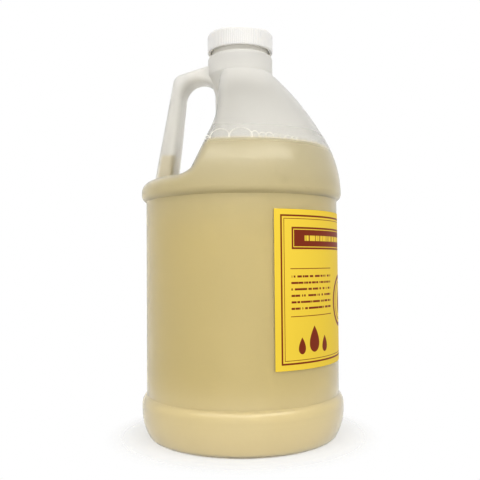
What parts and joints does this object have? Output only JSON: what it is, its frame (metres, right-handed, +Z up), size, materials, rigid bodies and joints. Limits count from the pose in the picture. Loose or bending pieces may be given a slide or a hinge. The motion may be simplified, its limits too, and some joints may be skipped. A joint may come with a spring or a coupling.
{
  "type": "handled jug",
  "caption": "Round translucent jug with a moulded-in hollow handle, bumper rings, a ribbed screw cap on a liner, a wrapped label and a pale filling.",
  "frame": {"origin": "middle of the base, on the surface that the jug stands on", "axes": "+Z up along the jug's axis, handle towards -X, label towards +X"},
  "size_m": [0.125, 0.125, 0.2514],
  "materials": {
    "jug_wall": "natural polyethylene, milky and see-through, with a soft sheen",
    "filling": "pale straw-yellow liquid",
    "cap": "warm white, satin",
    "liner": "white foam",
    "label": "yellow print with a light gloss"
  },
  "bodies": {
    "jug": {"jug_body": "jug_wall", "liquid_fill": "filling", "front_label": "label"},
    "liner": {"cap_liner": "liner"},
    "cap": {"screw_cap": "cap"}
  },
  "joints": [
    {"name": "cap_rise", "type": "slide", "parent": "jug", "child": "liner", "axis": [0, 0, 1], "range_m": [0, 0.0127]},
    {"name": "cap_turn", "type": "hinge", "parent": "liner", "child": "cap", "pos_m": [0, 0, 0.2455], "axis": [0, 0, 1], "range_deg": [0, 1080]}
  ],
  "couplings": [
    {"joint": "cap_turn", "follows": "cap_rise", "rad_per_m": 1484.2}
  ]
}
